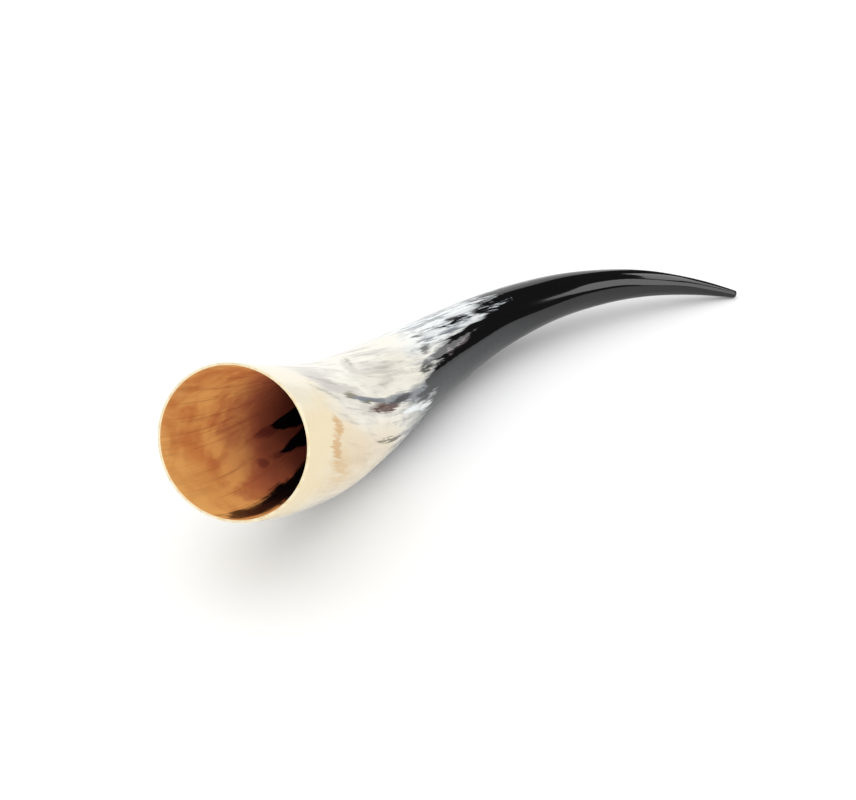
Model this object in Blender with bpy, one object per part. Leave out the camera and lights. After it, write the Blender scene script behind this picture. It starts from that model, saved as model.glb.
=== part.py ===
"""Ox horn shofar: one natural horn, hollow at the bell and drilled through its solid tip.

The horn lies as it rests on a table: belly and tip touch z = 0 and the bell is held
up by the balance of the two ends. +X runs from the bell towards the tip, +Z is up.
"""
import math

import bmesh
import bpy
import numpy as np

# Outer form, metres
HORN_LENGTH = 0.480              # along the centreline, mouth to tip
MOUTH_RADIUS = 0.0400
TIP_RADIUS = 0.0026
TIP_ROUNDING = 0.0010            # rounded outer edge of the blunt tip

# Hollow and windway, metres
MOUTH_WALL = 0.0014              # thin, pared edge of the bell
CAVITY_WALL = 0.0050             # where the natural cavity ends
CAVITY_DEPTH = 0.305             # along the centreline from the mouth
WINDWAY_RADIUS = 0.0030          # drilled hole where it meets the cavity
BLOW_HOLE_RADIUS = 0.0011        # drilled hole behind the cup
CUP_FLARE = 0.0003               # how much wider than the blow hole the cup opens
CUP_DEPTH = 0.0040
TIP_LIP = 0.0002                 # flat left between the cup and the rounding

# The natural curve, read at evenly spaced stations from the mouth to the tip
TAPER = (1.0, 0.838, 0.536, 0.274, 0.0)            # from TIP_RADIUS (0) to MOUTH_RADIUS (1)
HEADINGS_DEG = (-6.0, 4.0, -14.0, -34.0, -54.0)    # from +X, positive towards +Y
PITCHES_DEG = (-31.5, -14.5, 1.0, -4.7, -16.0)     # positive upwards

# The cross-section near the mouth
MOUTH_OVAL = 0.04                # how far the radius swells and shrinks round the mouth
MOUTH_OVAL_DEG = 5.0             # direction of the widest radius, from the section's side
MOUTH_SLANT_DEG = 10.0           # how far the mouth is cut off square, turning to the side
SLANT_REACH = 0.120              # the slant fades out this far from the mouth

# Mesh density
OUTER_RINGS = 52
CAVITY_RINGS = 28
WINDWAY_RINGS = 10
ROUNDING_STEPS = 3
SIDES = 32
PATH_STEPS = 960


def clear_scene():
    for old in list(bpy.data.objects):
        bpy.data.objects.remove(old, do_unlink=True)


def through_stations(values, share):
    """The quartic curve that passes through five evenly spaced station values."""
    stations = np.linspace(0.0, 1.0, len(values))
    return np.polyval(np.polyfit(stations, values, len(values) - 1), share)


def centreline(distance):
    """Points and section directions (along, side, up) at distances from the mouth."""
    path = np.linspace(0.0, 1.0, PATH_STEPS + 1)
    heading = np.radians(through_stations(HEADINGS_DEG, path))
    pitch = np.radians(through_stations(PITCHES_DEG, path))
    along = np.stack([np.cos(pitch) * np.cos(heading),
                      np.cos(pitch) * np.sin(heading),
                      np.sin(pitch)], axis=1)
    steps = (along[1:] + along[:-1]) / 2 * HORN_LENGTH / PATH_STEPS
    points = np.vstack([np.zeros(3), np.cumsum(steps, axis=0)])

    share = np.asarray(distance) / HORN_LENGTH
    point = np.stack([np.interp(share, path, points[:, i]) for i in range(3)], axis=1)
    along = np.stack([np.interp(share, path, along[:, i]) for i in range(3)], axis=1)
    along /= np.linalg.norm(along, axis=1, keepdims=True)
    side = np.cross(along, (0.0, 0.0, 1.0))
    side /= np.linalg.norm(side, axis=1, keepdims=True)
    return point, along, side, np.cross(side, along)


def outer_radius(distance):
    taper = through_stations(TAPER, distance / HORN_LENGTH)
    return TIP_RADIUS + (MOUTH_RADIUS - TIP_RADIUS) * taper


def windway_radius(distance):
    share = (distance - CAVITY_DEPTH) / (HORN_LENGTH - CUP_DEPTH - CAVITY_DEPTH)
    return WINDWAY_RADIUS + (BLOW_HOLE_RADIUS - WINDWAY_RADIUS) * share


def cavity_radius(distance):
    """Follows the outside at the wall's thickness, and closes in on the windway."""
    share = distance / CAVITY_DEPTH
    wall = MOUTH_WALL + (CAVITY_WALL - MOUTH_WALL) * share
    closing = np.sqrt(1.0 - share ** 6)
    return WINDWAY_RADIUS + (outer_radius(distance) - wall - WINDWAY_RADIUS) * closing


def wall_profile():
    """The closed outline of the horn's wall: (distance, radius) from the mouth's outer
    edge to the tip, over the tip, up the windway and back down the cavity."""
    cup_radius = BLOW_HOLE_RADIUS + CUP_FLARE
    rounding = min(TIP_ROUNDING, TIP_RADIUS - cup_radius - TIP_LIP)
    outside = np.linspace(0.0, HORN_LENGTH - rounding, OUTER_RINGS)
    turn = np.linspace(0.0, math.pi / 2, ROUNDING_STEPS + 1)[1:]
    tip_distance = HORN_LENGTH - rounding * (1 - np.sin(turn))
    tip_radius = outer_radius(tip_distance) - rounding * (1 - np.cos(turn))
    windway = np.linspace(HORN_LENGTH - CUP_DEPTH, CAVITY_DEPTH, WINDWAY_RINGS)[:-1]
    ease = np.sin(np.linspace(math.pi / 2, 0.0, CAVITY_RINGS))
    cavity = CAVITY_DEPTH * ease
    distance = np.concatenate([outside, tip_distance, [HORN_LENGTH], windway, cavity])
    radius = np.concatenate([outer_radius(outside), tip_radius, [cup_radius],
                             windway_radius(windway), cavity_radius(cavity)])
    return distance, radius


def horn_rings():
    """Every ring of the wall's outline, as an array of rings x sides x 3."""
    distance, radius = wall_profile()
    point, along, side, up = centreline(distance)
    turn = np.linspace(0.0, 2 * math.pi, SIDES, endpoint=False)
    swell = MOUTH_OVAL * (1 - distance / HORN_LENGTH) ** 2
    reach = radius[:, None] * (1 + swell[:, None] * np.cos(
        2 * (turn - math.radians(MOUTH_OVAL_DEG))))
    sideways = reach * np.cos(turn)
    upwards = reach * np.sin(turn)
    fade = np.clip(1 - distance / SLANT_REACH, 0.0, 1.0) ** 2
    lengthways = math.tan(math.radians(MOUTH_SLANT_DEG)) * sideways * fade[:, None]
    return (point[:, None] + sideways[..., None] * side[:, None]
            + upwards[..., None] * up[:, None] + lengthways[..., None] * along[:, None])


def stand_on_origin(rings):
    """Moves the horn so that the origin is below the middle of its box, on the table."""
    low = rings.min(axis=(0, 1))
    high = rings.max(axis=(0, 1))
    middle = (low + high) / 2
    return rings - (middle[0], middle[1], low[2])


def horn_material():
    material = bpy.data.materials.new("polished_horn")
    material.use_nodes = True
    shader = material.node_tree.nodes["Principled BSDF"]
    shader.inputs["Base Color"].default_value = (0.30, 0.22, 0.15, 1.0)
    shader.inputs["Roughness"].default_value = 0.18
    shader.inputs["Metallic"].default_value = 0.0
    return material


def make_horn():
    rings = stand_on_origin(horn_rings())
    mesh = bpy.data.meshes.new("horn")
    shape = bmesh.new()
    grid = [[shape.verts.new(corner) for corner in ring] for ring in rings]
    for i, ring in enumerate(grid):
        following = grid[(i + 1) % len(grid)]
        for k in range(SIDES):
            n = (k + 1) % SIDES
            shape.faces.new((ring[k], ring[n], following[n], following[k]))
    bmesh.ops.recalc_face_normals(shape, faces=shape.faces)
    bmesh.ops.triangulate(shape, faces=shape.faces)
    shape.to_mesh(mesh)
    shape.free()
    mesh.shade_smooth()
    mesh.set_sharp_from_angle(angle=math.radians(40))
    mesh.materials.append(horn_material())
    horn = bpy.data.objects.new("horn", mesh)
    bpy.context.scene.collection.objects.link(horn)
    return horn


clear_scene()
make_horn()
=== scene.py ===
import math
import bpy
import numpy as np
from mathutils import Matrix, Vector


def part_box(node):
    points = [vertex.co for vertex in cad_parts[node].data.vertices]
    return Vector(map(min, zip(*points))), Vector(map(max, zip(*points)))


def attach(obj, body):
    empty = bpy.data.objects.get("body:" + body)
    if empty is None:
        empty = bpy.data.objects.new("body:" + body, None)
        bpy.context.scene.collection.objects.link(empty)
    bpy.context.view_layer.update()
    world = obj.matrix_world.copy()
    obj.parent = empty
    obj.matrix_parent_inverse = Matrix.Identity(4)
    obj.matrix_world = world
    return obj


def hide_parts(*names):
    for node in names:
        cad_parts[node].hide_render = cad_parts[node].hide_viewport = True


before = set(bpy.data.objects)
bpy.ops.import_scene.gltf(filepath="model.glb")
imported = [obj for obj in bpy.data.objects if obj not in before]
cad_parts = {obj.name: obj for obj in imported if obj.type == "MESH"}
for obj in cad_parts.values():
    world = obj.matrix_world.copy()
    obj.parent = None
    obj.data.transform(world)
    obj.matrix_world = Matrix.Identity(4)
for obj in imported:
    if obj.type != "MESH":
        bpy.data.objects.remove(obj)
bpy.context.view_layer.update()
nodeLow, nodeHigh = (np.array(corner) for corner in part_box("horn"))
print("frame loaded, horn box", nodeLow.round(4), nodeHigh.round(4))


# horn sizes in metres and degrees, the same driving sizes as the solid part
hornShape = {
    "length": 0.480,                 # along the centreline, mouth to tip
    "mouthRadius": 0.0400,
    "tipRadius": 0.0026,
    "tipRounding": 0.0010,
    "mouthWall": 0.0014,
    "cavityWall": 0.0050,
    "cavityDepth": 0.305,
    "windwayRadius": 0.0030,
    "blowHoleRadius": 0.0011,
    "cupRadius": 0.0014,
    "cupDepth": 0.0040,
    "rimRounding": 0.0004,           # broken edges of the cut mouth
    "taper": (1.0, 0.838, 0.536, 0.274, 0.0),
    "headings": (-6.0, 4.0, -14.0, -34.0, -54.0),
    "pitches": (-31.5, -14.5, 1.0, -4.7, -16.0),
    "oval": 0.04,
    "ovalTurn": 5.0,
    "slant": 10.0,
    "slantReach": 0.120,
    "fibreTurn": 0.3,                # the grain's twist, degrees round in a millimetre along
    "sides": 150,
    "outerRings": 300,
    "cavityRings": 150,
    "windwayRings": 30,
    "edgeSteps": 5,
    "centreSteps": 1920,             # short straight steps that the centreline is summed from
}

# unevenness of a hand finished surface: its depth in metres, the seed of its waves, and the
# range of their number round the horn and of their length along it
hornRelief = {
    "broad": {"depth": 0.00022, "seed": 3, "rounds": (1, 4), "lengths": (0.05, 0.16)},
    "rasped": {"depth": 0.00006, "seed": 5, "rounds": (5, 13), "lengths": (0.05, 0.12)},
    "growth": {"depth": 0.00005, "seed": 8, "rounds": (0, 2), "lengths": (0.007, 0.016)},
    "ribs": {"depth": 0.00022, "seed": 11, "rounds": (6, 16), "lengths": (0.09, 0.3)},
}
waveCount = 14


# value of the quartic curve through evenly spaced station values, at a share from 0 to 1
def throughStations(values, share):
    stations = np.linspace(0, 1, len(values))
    return np.polyval(np.polyfit(stations, values, len(values) - 1), share)


# centreline point = running sum of the direction (cos p cos h, cos p sin h, sin p), where the
# heading h and the pitch p are quartics of the distance; side = direction x up, level
def centreline(shape, distance):
    steps = shape["centreSteps"]
    path = np.linspace(0, 1, steps + 1)
    heading = np.radians(throughStations(shape["headings"], path))
    pitch = np.radians(throughStations(shape["pitches"], path))
    along = np.stack([np.cos(pitch) * np.cos(heading),
                      np.cos(pitch) * np.sin(heading), np.sin(pitch)], axis=1)
    points = np.vstack([np.zeros(3), np.cumsum(
        (along[1:] + along[:-1]) / 2 * shape["length"] / steps, axis=0)])
    share = distance / shape["length"]
    point, along = (np.stack([np.interp(share, path, table[:, i]) for i in range(3)], axis=1)
                    for table in (points, along))
    along /= np.linalg.norm(along, axis=1, keepdims=True)
    side = np.cross(along, (0, 0, 1))
    side /= np.linalg.norm(side, axis=1, keepdims=True)
    return point, along, side, np.cross(side, along)


# tip radius plus the taper's share, a quartic of the distance, of what the mouth is wider by
def outerRadius(shape, distance):
    taper = throughStations(shape["taper"], distance / shape["length"])
    return shape["tipRadius"] + (shape["mouthRadius"] - shape["tipRadius"]) * taper


# outside less the wall, closing in on the windway as the root of 1 - share^6
def cavityRadius(shape, distance):
    share = distance / shape["cavityDepth"]
    wall = shape["mouthWall"] + (shape["cavityWall"] - shape["mouthWall"]) * share
    closing = np.sqrt(np.clip(1 - share ** 6, 0, 1))
    room = outerRadius(shape, distance) - wall - shape["windwayRadius"]
    return shape["windwayRadius"] + room * closing


# straight taper from the end of the cavity to the cup
def windwayRadius(shape, distance):
    share = (distance - shape["cavityDepth"]) / (
        shape["length"] - shape["cupDepth"] - shape["cavityDepth"])
    return shape["windwayRadius"] + (shape["blowHoleRadius"] - shape["windwayRadius"]) * share


# closed outline of the wall as (distance, radius, skin): quarter circles break the mouth's
# and the tip's edges, and skin is 0 outside, 1 on the cut rim and 2 inside
def wallOutline(shape):
    turn = np.linspace(0, math.pi / 2, shape["edgeSteps"] + 1)
    edge = shape["rimRounding"]
    mouth = outerRadius(shape, 0.0)
    bore = cavityRadius(shape, 0.0)
    tipEnd = shape["length"]
    rounding = shape["tipRounding"]
    outside = np.linspace(edge, tipEnd - rounding, shape["outerRings"])
    tipTurn = turn[1:]
    tipRun = tipEnd - rounding * (1 - np.sin(tipTurn))
    cupShare = np.linspace(0, 1, 8)
    cupRun = tipEnd - shape["cupDepth"] * cupShare
    cup = shape["blowHoleRadius"] + (shape["cupRadius"] - shape["blowHoleRadius"]) * (
        np.cos(cupShare * math.pi) + 1) / 2
    windway = np.linspace(tipEnd - shape["cupDepth"], shape["cavityDepth"],
                          shape["windwayRings"])[1:-1]
    cavity = edge + (shape["cavityDepth"] - edge) * np.sin(
        np.linspace(math.pi / 2, 0, shape["cavityRings"]))
    innerEdge = turn[1:]
    outerEdge = turn[:-1]
    rows = [
        (outside, outerRadius(shape, outside), 0),
        (tipRun, outerRadius(shape, tipRun) - rounding * (1 - np.cos(tipTurn)), 0),
        (cupRun, cup, 0),
        (windway, windwayRadius(shape, windway), 2),
        (cavity, cavityRadius(shape, cavity), 2),
        (edge * (1 - np.sin(innerEdge)), bore + edge * (1 - np.cos(innerEdge)), 1),
        (edge * (1 - np.cos(outerEdge)), mouth - edge * (1 - np.sin(outerEdge)), 1),
    ]
    distance = np.concatenate([row[0] for row in rows])
    radius = np.concatenate([row[1] for row in rows])
    skin = np.concatenate([np.full(len(row[0]), row[2]) for row in rows])
    return distance, radius, skin


# depth times a sum of waves, each cos(waves x turn + phase) x cos(2 pi distance / length +
# phase); the number of waves round is whole, so the ring closes
def unevenness(turn, distance, depth, seed, rounds, lengths):
    draw = np.random.default_rng(seed)
    total = np.zeros(np.broadcast(turn, distance).shape)
    for _ in range(waveCount):
        waves = draw.integers(rounds[0], rounds[1] + 1)
        length = draw.uniform(*lengths)
        phase = draw.uniform(0, 2 * math.pi, 2)
        total += np.cos(waves * turn + phase[0]) * np.cos(
            2 * math.pi * distance / length + phase[1])
    return total * (depth / math.sqrt(waveCount))


# point = centreline + radius (cos a side + sin a up) + slant along, with the radius swelling
# as 1 + oval cos 2(a - ovalTurn) near the mouth, plus the relief, which fades out at the
# mouth, the tip and the end of the cavity
def hornGrid(shape, relief):
    distance, radius, skin = wallOutline(shape)
    point, along, side, up = centreline(shape, distance)
    turn = np.linspace(0, 2 * math.pi, shape["sides"], endpoint=False)
    share = (distance / shape["length"])[:, None]
    swell = shape["oval"] * (1 - share) ** 2
    reach = radius[:, None] * (1 + swell * np.cos(2 * (turn - math.radians(shape["ovalTurn"]))))
    far = distance[:, None]
    outside = (skin == 0)[:, None] * np.clip((shape["length"] - 0.012 - far) / 0.05, 0, 1)
    inside = (skin == 2)[:, None] * np.clip((shape["cavityDepth"] - far) / 0.08, 0, 1)
    broad, rasped, growth, ribs = (unevenness(turn, far, **waves) for waves in relief.values())
    growth = growth * np.clip(1 - far / 0.3, 0, 1)
    reach = reach + np.clip(far / 0.010, 0, 1) * (
        outside * (broad + rasped + growth) + inside * (broad + ribs))
    sideways = reach * np.cos(turn)
    upwards = reach * np.sin(turn)
    fade = np.clip(1 - distance / shape["slantReach"], 0, 1) ** 2
    lengthways = math.tan(math.radians(shape["slant"])) * sideways * fade[:, None]
    grid = (point[:, None] + sideways[..., None] * side[:, None]
            + upwards[..., None] * up[:, None] + lengthways[..., None] * along[:, None])
    fibre = turn + np.radians(shape["fibreTurn"] * 1000) * far
    places = {"grain": np.stack(np.broadcast_arrays(np.cos(turn), np.sin(turn), far), axis=-1),
              "fibre": np.stack(np.broadcast_arrays(np.cos(fibre), np.sin(fibre), far), axis=-1)}
    return grid, places, skin


# a closed ring of rings made into a mesh: rows join the next row, the last joins the first
def gridMesh(name, grid, places, skin):
    rows, sides = grid.shape[:2]
    row, column = (part.ravel() for part in np.meshgrid(np.arange(rows), np.arange(sides),
                                                        indexing="ij"))
    nextRow = (row + 1) % rows
    nextColumn = (column + 1) % sides
    faces = np.stack([row * sides + column, nextRow * sides + column,
                      nextRow * sides + nextColumn, row * sides + nextColumn], axis=1)
    mesh = bpy.data.meshes.new(name)
    mesh.from_pydata(grid.reshape(-1, 3).tolist(), [], faces.tolist())
    for place, table in places.items():
        where = mesh.attributes.new(place, "FLOAT_VECTOR", "POINT")
        where.data.foreach_set("vector", table.reshape(-1).astype(np.float32))
    finishes = np.maximum(skin[row], skin[nextRow]).astype(np.int32)
    mesh.polygons.foreach_set("material_index", finishes)
    mesh.polygons.foreach_set("use_smooth", np.ones(len(faces), dtype=bool))
    mesh.update()
    piece = bpy.data.objects.new(name, mesh)
    bpy.context.scene.collection.objects.link(piece)
    return piece


grid, places, skin = hornGrid(hornShape, hornRelief)
low = grid.min(axis=(0, 1))
high = grid.max(axis=(0, 1))
grid = grid + np.append(((nodeLow + nodeHigh - low - high) / 2)[:2], nodeLow[2] - low[2])
horn = gridMesh("polishedHorn", grid, places, skin)
print("horn surface made,", len(horn.data.polygons), "faces")


# a socket that can be added, multiplied and so on: each operator adds one Math node
class Value:
    def __init__(self, socket):
        self.socket = socket

    def __add__(self, other):
        return calculate("ADD", self, other)

    def __sub__(self, other):
        return calculate("SUBTRACT", self, other)

    def __mul__(self, other):
        return calculate("MULTIPLY", self, other)

    def __truediv__(self, other):
        return calculate("DIVIDE", self, other)

    def __pow__(self, other):
        return calculate("POWER", self, other)

    def __rsub__(self, other):
        return calculate("SUBTRACT", other, self)

    __radd__ = __add__
    __rmul__ = __mul__


def plug(item, slot):
    if isinstance(item, Value):
        slot.id_data.links.new(item.socket, slot)
    else:
        slot.default_value = item


def calculate(operation, *items):
    tree = next(item for item in items if isinstance(item, Value)).socket.id_data
    node = tree.nodes.new("ShaderNodeMath")
    node.operation = operation
    for item, slot in zip(items, node.inputs):
        plug(item, slot)
    return Value(node.outputs[0])


# the nodes of a material or a world: add() takes a node's type, its settings, which are set
# first, and the values or links of its sockets by name or number, and gives one output
class Graph:
    def __init__(self, owner):
        owner.use_nodes = True
        self.tree = owner.node_tree

    def add(self, kind, settings=None, sockets=None, output=0):
        node = self.tree.nodes.new(kind)
        for name, value in (settings or {}).items():
            if name == "stops":
                ramp = node.color_ramp.elements
                while len(ramp) < len(value):
                    ramp.new(1.0)
                for stop, (place, color) in zip(ramp, value):
                    stop.position = place
                    stop.color = color
            else:
                setattr(node, name, value)
        for name, item in (sockets or {}).items():
            plug(item, node.inputs[name])
        return Value(node.outputs[output])


# one material being built
class Finish(Graph):
    def __init__(self, name):
        self.material = bpy.data.materials.new(name)
        super().__init__(self.material)
        self.shader = self.tree.nodes["Principled BSDF"]

    # a constant set on the shader's own socket
    def fix(self, socket, value):
        self.shader.inputs[socket].default_value = value

    def feed(self, socket, item):
        plug(item, self.shader.inputs[socket])

    def mix(self, amount, first, second):
        return self.add("ShaderNodeMix", {"data_type": "RGBA"},
                        {0: amount, 6: first, 7: second}, output=2)

    # 0 below low, 1 above high, an S curve between
    def rise(self, value, low, high):
        return self.add("ShaderNodeMapRange", {"interpolation_type": "SMOOTHSTEP"},
                        {0: value, 1: low, 2: high, 3: 0.0, 4: 1.0})

    # 1 within reach of the centre, gone a little further out
    def patch(self, value, centre, reach, soft):
        away = calculate("ABSOLUTE", value - centre)
        return 1 - self.rise(away, max(reach - soft, 0.0), reach + soft)

    def noise(self, vector, scale, detail, roughness=0.55, distortion=0.0):
        return self.add("ShaderNodeTexNoise", {"noise_dimensions": "3D"},
                        {"Vector": vector, "Scale": scale, "Detail": detail,
                         "Roughness": roughness, "Distortion": distortion})

    def clamp(self, value):
        return self.add("ShaderNodeClamp", None, {"Value": value, "Min": 0.0, "Max": 1.0})

    # the horn's skin unrolled: the position along the twisted grain, the millimetres from the
    # mouth, and the turn in degrees
    def unrolled(self):
        grain = self.add("ShaderNodeAttribute", {"attribute_name": "grain"}, output="Vector")
        fibre = self.add("ShaderNodeAttribute", {"attribute_name": "fibre"}, output="Vector")
        sideways, upwards, run = (self.add("ShaderNodeSeparateXYZ", None, {0: grain}, axis)
                                  for axis in range(3))
        turn = calculate("ARCTAN2", upwards, sideways) * (180 / math.pi)
        return fibre, run * 1000, turn

    # noise stretched along the fibre: wide is how many cells fit in a radian round, long is
    # the length of a cell in millimetres, and shift gives each pattern its own cells
    def pattern(self, fibre, wide, long, shift, detail, roughness, distortion):
        stretched = self.add("ShaderNodeMapping", None, {
            "Vector": fibre, "Location": (shift, shift * 0.7, shift * 1.3),
            "Scale": (wide, wide, 1000 / long)})
        return self.noise(stretched, 1.0, detail, roughness, distortion)

    def relief(self, strength, distance, height):
        bump = self.add("ShaderNodeBump", None, {"Strength": strength, "Distance": distance,
                                                 "Height": height})
        self.feed("Normal", bump)

    # oval marks laid over a colour: each has a colour name, a strength, its middle as run and
    # turn, its reach along and round, and its lean in degrees round for a millimetre along
    def marked(self, color, look, marks, run, turn, grit):
        for name, strength, middle, aside, reach, spread, lean in look[marks]:
            along = (run - middle) / reach
            around = (turn - (run - middle) * lean - aside) / spread
            inside = 1 - self.rise(along * along + around * around, 0.15, 1.6)
            color = self.mix(inside * grit * strength, color, look[name])
        return color


# display values from 0 to 255 as the linear colour that a shader takes
def srgb(red, green, blue):
    parts = [channel / 255 for channel in (red, green, blue)]
    return tuple(c / 12.92 if c <= 0.04045 else ((c + 0.055) / 1.055) ** 2.4
                 for c in parts) + (1.0,)


# outside of the horn, in millimetres from the mouth and degrees round it; "edge" is how far
# along the black pigment starts at each turn, and "marks" and "chips" are as in marked()
outsideLook = {
    "cream": srgb(232, 216, 180),
    "ivory": srgb(235, 231, 218),
    "buff": srgb(218, 194, 152),
    "cloud": srgb(196, 190, 182),
    "slate": srgb(112, 118, 124),
    "stain": srgb(200, 148, 78),
    "brown": srgb(74, 34, 8),
    "olive": srgb(110, 104, 66),
    "flake": srgb(236, 240, 240),
    "chip": srgb(128, 118, 120),
    "black": srgb(18, 17, 18),
    # painted reflection of the pale table, laid on the black's lower side
    "floorReflection": srgb(41, 44, 46),
    "edge": ((-180, 225), (-150, 190), (-120, 150), (-90, 130), (-60, 140), (-30, 158), (0, 162),
             (14, 152), (24, 160), (30, 178), (45, 183), (51, 196), (55, 240), (63, 262),
             (70, 240), (78, 240), (88, 258), (110, 264), (140, 252), (180, 225)),
    "marks": (
        ("ivory", 0.70, 5, 80, 26, 38, 0.0),
        ("buff", 0.55, 66, -10, 52, 28, 0.0),
        ("buff", 0.45, 44, 5, 22, 24, -0.3),
        ("buff", 0.75, 33, -3, 13, 13, -0.6),
        ("stain", 0.72, 28, 27, 4.5, 8, -0.6),
        ("stain", 0.65, 25, 12, 4.5, 9, -1.2),
        ("stain", 0.30, 34, -4, 8, 5, -0.8),
        ("cloud", 0.95, 44, 66, 13, 13, -0.5),
        ("olive", 0.35, 34, 55, 11, 2.6, -0.9),
        ("olive", 0.30, 46, 66, 13, 2.4, -0.7),
        ("cloud", 0.80, 64, 53, 14, 5, -0.4),
        ("olive", 0.90, 61, 47, 8, 3.5, -0.3),
        ("cloud", 0.70, 100, 80, 13, 9, 0.9),
        ("olive", 0.45, 107, 86, 7, 3, 1.2),
        ("slate", 1.10, 80, 38.5, 21, 4.0, -0.36),
        ("olive", 0.70, 86, 34.5, 16, 1.6, -0.36),
        ("slate", 0.80, 108, 31.5, 24, 2.4, -0.08),
        ("slate", 1.05, 124, 25.5, 24, 4.2, -0.16),
        ("black", 1.00, 122, 25.5, 20, 3.0, -0.14),
        ("slate", 0.80, 153, 20, 18, 8, -0.25),
        ("brown", 1.15, 98, 26.5, 21, 3.4, -0.24),
        ("olive", 1.30, 100, -3.5, 22, 2.2, -0.38),
        ("brown", 0.80, 112, -8.5, 11, 1.8, -0.38),
        ("slate", 0.60, 138, -16, 28, 3.4, -0.38),
        ("cloud", 0.80, 118, 14, 18, 2.0, -0.3),
    ),
    "chips": (
        ("flake", 1.00, 137, 9, 18, 3.8, -0.22),
        ("flake", 1.00, 160, -2, 10, 3.6, -0.2),
        ("flake", 0.70, 150, 2, 9, 2.2, -0.3),
        ("black", 0.80, 194, 78, 10, 5, -0.3),
        ("black", 1.00, 236, 73, 18, 6, -0.3),
        ("flake", 0.80, 204, 71, 13, 6, -0.3),
        ("flake", 0.75, 236, 58, 13, 4, -0.3),
        ("flake", 0.80, 240, 84, 15, 8, -0.2),
        ("flake", 0.60, 201, 51, 8, 4, -0.2),
        ("slate", 0.90, 216, 61, 12, 5, -0.3),
        ("slate", 0.70, 197, 64, 9, 3, -0.3),
        ("black", 0.85, 171, 38, 9, 8, 0.2),
        ("black", 0.70, 183, 57, 7, 6, 0.2),
        ("chip", 0.90, 203, 37, 4.0, 5, 0.0),
        ("chip", 0.60, 219, 38, 8, 4, 0.1),
    ),
    "patterns": {
        "cloud": {"wide": 1.7, "long": 42, "shift": 0.0, "detail": 4.0, "roughness": 0.6,
                  "distortion": 0.3},
        "streak": {"wide": 6.5, "long": 36, "shift": 3.0, "detail": 4.0, "roughness": 0.6,
                   "distortion": 0.4},
        "fleck": {"wide": 11.0, "long": 13, "shift": 7.0, "detail": 4.0, "roughness": 0.6,
                  "distortion": 0.6},
        "fine": {"wide": 38.0, "long": 26, "shift": 11.0, "detail": 3.0, "roughness": 0.6,
                 "distortion": 0.2},
    },
    "creamEnd": (16, 54),
    "greyStart": (14, 50),
    "cloudShare": 0.75,
    "lineShare": 0.30,
    "upperSide": (88, 34, 12),       # middle, half width and softness of the flaked side
    "lowerSide": (16, 26),
    "flakeStart": (150, 200),
    "fringeShare": 0.8,
    # how far along the painted reflection on the black's lower side fades out
    "floorReflectionEnd": (230, 330),
    "belly": (-90, 9, 3),            # middle, half width and softness of the underside streak
    "bellyStart": (8, 16),
    "lightRoughness": 0.24,
    "blackRoughness": 0.06,
    "refraction": 1.46,
}
edgeScale = 400                      # millimetres that the edge ramp's white stands for


def outsideFinish(look):
    finish = Finish("outerHorn")
    fibre, run, turn = finish.unrolled()
    cloud, streak, fleck, fine = (finish.pattern(fibre, **look["patterns"][name])
                                  for name in ("cloud", "streak", "fleck", "fine"))
    raggedRun = run + (fleck - 0.5) * 16 + (fine - 0.5) * 10
    raggedTurn = turn + (streak - 0.5) * 10 + (fine - 0.5) * 6

    # light horn: cream at the mouth, ivory further on, clouded and streaked with grey
    color = finish.mix(finish.rise(run + (cloud - 0.5) * 60, *look["creamEnd"]),
                       look["cream"], look["ivory"])
    away = finish.rise(run, *look["greyStart"])
    greys = finish.rise(cloud * 0.5 + streak * 0.5, 0.44, 0.62) * away
    color = finish.mix(greys * look["cloudShare"], color, look["cloud"])
    lines = finish.rise(fine * 0.45 + streak * 0.55, 0.53, 0.64) * away
    color = finish.mix(lines * look["lineShare"], color, look["slate"])
    grit = finish.rise(fine * 0.5 + streak * 0.5, 0.30, 0.48) * 0.5 + 0.5
    color = finish.marked(color, look, "marks", raggedRun, raggedTurn, grit)

    # black pigment: torn into flakes along the grain, most on the upper side
    stops = [((angle + 180) / 360, (far / edgeScale,) * 3 + (1.0,))
             for angle, far in look["edge"]]
    edge = finish.add("ShaderNodeValToRGB", {"stops": stops}, {0: turn / 360 + 0.5}) * edgeScale
    upper = finish.patch(turn, *look["upperSide"])
    lower = 1 - finish.rise(turn, *look["lowerSide"])
    ragged = (streak - 0.5) * (50 + upper * 100) + (fleck - 0.5) * (60 + upper * 90) + (
        fine - 0.5) * (14 + upper * 16)
    depth = run - edge + ragged
    near = finish.rise(depth, -24, 3)
    fringe = near + (finish.rise(depth, -52, 0) - near) * finish.clamp(lower + upper * 0.6)
    flaked = upper * finish.rise(run + (cloud - 0.5) * 60, *look["flakeStart"])
    color = finish.mix(flaked, color, look["flake"])
    color = finish.mix(flaked * finish.rise(streak * 0.5 + fleck * 0.5, 0.46, 0.58) * 0.7,
                       color, look["slate"])
    color = finish.mix(fringe * look["fringeShare"], color, look["slate"])
    black = finish.rise(depth, -6, 8)
    # painted reflection: the black's lower side, where the pale table shows in it, is a lighter
    # bluish grey that fades out further along
    floorReflectionShare = lower * (1 - finish.rise(run, *look["floorReflectionEnd"]))
    blackWithReflection = finish.mix(floorReflectionShare, look["black"], look["floorReflection"])
    color = finish.mix(black, color, blackWithReflection)
    torn = finish.rise(fleck * 0.6 + fine * 0.4, 0.40, 0.52)
    color = finish.marked(color, look, "chips", raggedRun, raggedTurn, torn)
    belly = finish.patch(raggedTurn, *look["belly"]) * finish.rise(
        raggedRun, *look["bellyStart"])
    color = finish.mix(belly, color, look["black"])
    dark = finish.clamp(black + belly)

    roughness = look["lightRoughness"] + (look["blackRoughness"] - look["lightRoughness"]) * dark
    height = (streak * 0.5 + fine * 0.35 + fleck * 0.4) * (1 - dark * 0.85)
    finish.feed("Base Color", color)
    finish.feed("Roughness", roughness + (fine - 0.5) * 0.05)
    finish.relief(0.2, 0.0002, height)
    finish.fix("IOR", look["refraction"])
    return finish.material


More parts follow.
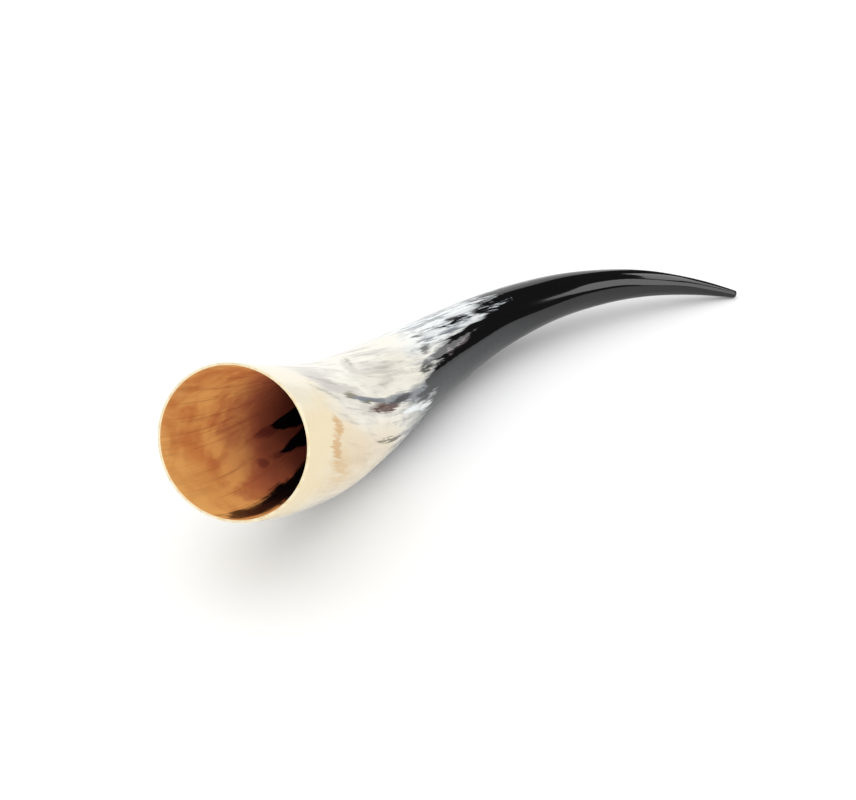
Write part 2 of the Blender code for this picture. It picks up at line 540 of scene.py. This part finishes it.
# cut edge of the mouth
rimLook = {
    "bone": srgb(243, 230, 196),
    "edge": srgb(226, 200, 148),
    "pattern": {"wide": 9.0, "long": 3, "shift": 0.0, "detail": 3.0, "roughness": 0.6,
                "distortion": 0.0},
    "roughness": 0.35,
}


def rimFinish(look):
    finish = Finish("cutRim")
    fibre = finish.unrolled()[0]
    tone = finish.pattern(fibre, **look["pattern"])
    color = finish.mix(finish.rise(tone, 0.4, 0.65) * 0.6, look["bone"], look["edge"])
    finish.feed("Base Color", color)
    finish.feed("Roughness", look["roughness"] + (tone - 0.5) * 0.15)
    finish.relief(0.2, 0.0001, tone)
    return finish.material


# inside of the horn; "wedges" are black tongues as tip run, turn and degrees gained with the
# root of the millimetres past the tip, and "band" is the dark streak along the underside
insideLook = {
    "honey": srgb(212, 160, 94),
    "amber": srgb(184, 118, 66),
    "rust": srgb(160, 94, 66),
    "deep": srgb(116, 62, 48),
    "vein": srgb(132, 72, 38),
    "maroon": srgb(86, 34, 34),
    "black": srgb(12, 8, 8),
    "gold": srgb(226, 182, 106),
    "marks": (
        ("gold", 0.40, 10, -122, 26, 34, 0.0),
        ("rust", 0.45, 42, -110, 6, 7, 0.0),
        ("rust", 0.40, 55, -165, 9, 9, 0.0),
        ("maroon", 0.60, 73, -134, 4.5, 6, 0.0),
        ("maroon", 0.70, 88, -160, 11, 5, 0.0),
        ("maroon", 0.60, 90, -137, 9, 4, 0.0),
    ),
    "patterns": {
        "cloud": {"wide": 1.9, "long": 26, "shift": 5.0, "detail": 3.0, "roughness": 0.55,
                  "distortion": 0.3},
        "streak": {"wide": 7.0, "long": 75, "shift": 2.0, "detail": 4.0, "roughness": 0.6,
                   "distortion": 0.5},
        "fine": {"wide": 32.0, "long": 75, "shift": 9.0, "detail": 3.0, "roughness": 0.6,
                 "distortion": 0.2},
    },
    "rustStart": (28, 80),
    "deepStart": (64, 104),
    "blackStart": (112, 122),
    "veinShare": 0.40,
    "wedges": ((88, -138.5, 2.1), (91, -163, 2.6)),
    "band": {"turn": -77.5, "lean": -0.31, "half": 7.8, "soft": 2.0, "start": (2, 8)},
    "glow": 0.45,
    "glowStart": (-44, 46),
    "glowEnd": (42, 130),
    "roughness": 0.26,
    "refraction": 1.36,
}


def insideFinish(look):
    finish = Finish("innerHorn")
    fibre, run, turn = finish.unrolled()
    cloud, streak, fine = (finish.pattern(fibre, **look["patterns"][name])
                           for name in ("cloud", "streak", "fine"))
    raggedRun = run + (streak - 0.5) * 14 + (fine - 0.5) * 8
    raggedTurn = turn + (cloud - 0.5) * 12 + (streak - 0.5) * 10 + (fine - 0.5) * 5

    color = finish.mix(finish.rise(cloud, 0.36, 0.64), look["honey"], look["amber"])
    color = finish.mix(finish.rise(run + (cloud - 0.5) * 60, *look["rustStart"]),
                       color, look["rust"])
    color = finish.mix(finish.rise(run + (cloud - 0.5) * 40, *look["deepStart"]),
                       color, look["deep"])
    veins = finish.rise(streak * 0.55 + fine * 0.45, 0.51, 0.63)
    color = finish.mix(veins * look["veinShare"], color, look["vein"])
    grit = finish.rise(fine, 0.2, 0.4)
    color = finish.marked(color, look, "marks", raggedRun, raggedTurn, grit)

    black = finish.rise(raggedRun, *look["blackStart"])
    for tip, aside, gain in look["wedges"]:
        past = calculate("MAXIMUM", raggedRun - tip, 0.0) ** 0.5
        wedge = past * gain - calculate("ABSOLUTE", raggedTurn - aside)
        black = calculate("MAXIMUM", black, finish.rise(wedge, 0.4, 3.0))
    band = look["band"]
    streakPlace = raggedTurn - raggedRun * band["lean"]
    belly = finish.patch(streakPlace, band["turn"], band["half"], band["soft"]) * finish.rise(
        raggedRun, *band["start"])
    dark = calculate("MAXIMUM", black, belly)
    color = finish.mix(dark, color, look["black"])
    finish.feed("Base Color", color)

    # light that comes through the thin wall: the same colour, less at the rim and deep inside
    through = finish.rise(run, *look["glowStart"]) * (1 - finish.rise(run, *look["glowEnd"]))
    finish.feed("Emission Color", finish.mix(through, (0, 0, 0, 1), color))
    finish.fix("Emission Strength", look["glow"])
    finish.feed("Roughness", look["roughness"] + (fine - 0.5) * 0.12)
    finish.fix("IOR", look["refraction"])
    finish.relief(0.3, 0.0003, streak * 0.6 + fine * 0.4)
    return finish.material


for finished in (outsideFinish(outsideLook), rimFinish(rimLook), insideFinish(insideLook)):
    horn.data.materials.append(finished)
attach(horn, "root")
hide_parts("horn")
print("finishes made")


# table top
stageSizes = {"floorRadius": 7.0, "floorSides": 96}


# a flat disc: one face on a ring of points, radius (cos a, sin a, 0)
def makeFloor(sizes):
    turn = np.linspace(0, 2 * math.pi, sizes["floorSides"], endpoint=False)
    ring = np.stack([np.cos(turn), np.sin(turn), np.zeros_like(turn)], axis=1)
    mesh = bpy.data.meshes.new("tableTop")
    mesh.from_pydata((ring * sizes["floorRadius"]).tolist(), [], [list(range(len(turn)))])
    floor = bpy.data.objects.new("tableTop", mesh)
    bpy.context.scene.collection.objects.link(floor)
    finish = Finish("paleTable")
    tone = finish.noise(finish.add("ShaderNodeTexCoord", output="Object"), 3.0, 2.0)
    finish.feed("Base Color", finish.mix(tone * 0.3, (0.96, 0.96, 0.96, 1),
                                         (0.94, 0.94, 0.945, 1)))
    finish.fix("Roughness", 0.9)
    finish.fix("Specular IOR Level", 0.0)
    mesh.materials.append(finish.material)


# place and target in metres, power in watts; a card is only seen in reflections and the
# overhead light only lights surfaces
lights = {
    "overheadLight": {"place": (0.0, 0.20, 1.5), "target": (0, 0, 0), "width": 2.2,
                      "height": 2.2, "shape": "RECTANGLE", "power": 7, "card": False},
    "frontCard": {"place": (-0.33, -0.96, 0.85), "target": (0.14, -0.03, 0.03), "width": 2.52,
                  "height": 2.52, "shape": "ELLIPSE", "power": 50, "card": True},
    "tipCard": {"place": (0.42, -0.19, 0.22), "target": (0.16, -0.05, 0.03), "width": 0.25,
                "height": 0.10, "shape": "RECTANGLE", "power": 0.24, "card": True},
    "backCard": {"place": (1.73, 1.02, 0.59), "target": (0.1, 0, 0.04), "width": 1.3,
                 "height": 1.15, "shape": "RECTANGLE", "power": 5.2, "card": True},
}


def softLight(name, place, target, width, height, shape, power, card):
    data = bpy.data.lights.new(name, "AREA")
    data.shape = shape
    data.size = width
    data.size_y = height
    data.energy = power
    light = bpy.data.objects.new(name, data)
    bpy.context.scene.collection.objects.link(light)
    light.location = place
    light.rotation_euler = (Vector(target) - Vector(place)).to_track_quat("-Z", "Y").to_euler()
    light.visible_glossy = card
    light.visible_diffuse = not card
    light.visible_camera = False


# surroundings: white to the eye, soft light to surfaces, dark in reflections
worldLook = {"seen": 1.0, "given": 1.0, "reflected": 0.02}


def makeWorld(look):
    world = bpy.data.worlds.new("studio")
    graph = Graph(world)
    background = graph.tree.nodes["Background"]
    eye, gloss = (graph.add("ShaderNodeLightPath", output=ray)
                  for ray in ("Is Camera Ray", "Is Glossy Ray"))
    background.inputs["Color"].default_value = (1, 1, 1, 1)
    strength = (look["given"] + eye * (look["seen"] - look["given"])
                + gloss * (look["reflected"] - look["given"]))
    plug(strength, background.inputs["Strength"])
    bpy.context.scene.world = world


# position in metres, heading and tilt down in degrees, lens as a share of the frame's width
cameraPlace = {"position": (-0.5205, -0.2487, 0.4059), "heading": 30.05, "tilt": 34.70,
               "focalShare": 1100 / 856}


def makeCamera(place):
    data = bpy.data.cameras.new("camera")
    data.lens = data.sensor_width * place["focalShare"]
    camera = bpy.data.objects.new("camera", data)
    bpy.context.scene.collection.objects.link(camera)
    heading = math.radians(place["heading"])
    tilt = math.radians(place["tilt"])
    look = Vector((math.cos(heading) * math.cos(tilt), math.sin(heading) * math.cos(tilt),
                   -math.sin(tilt)))
    camera.location = place["position"]
    camera.rotation_euler = look.to_track_quat("-Z", "Y").to_euler()
    bpy.context.scene.camera = camera


makeFloor(stageSizes)
makeWorld(worldLook)
for name, light in lights.items():
    softLight(name, **light)
makeCamera(cameraPlace)
bpy.context.scene.view_settings.view_transform = "Standard"
print("table, lights and camera made")
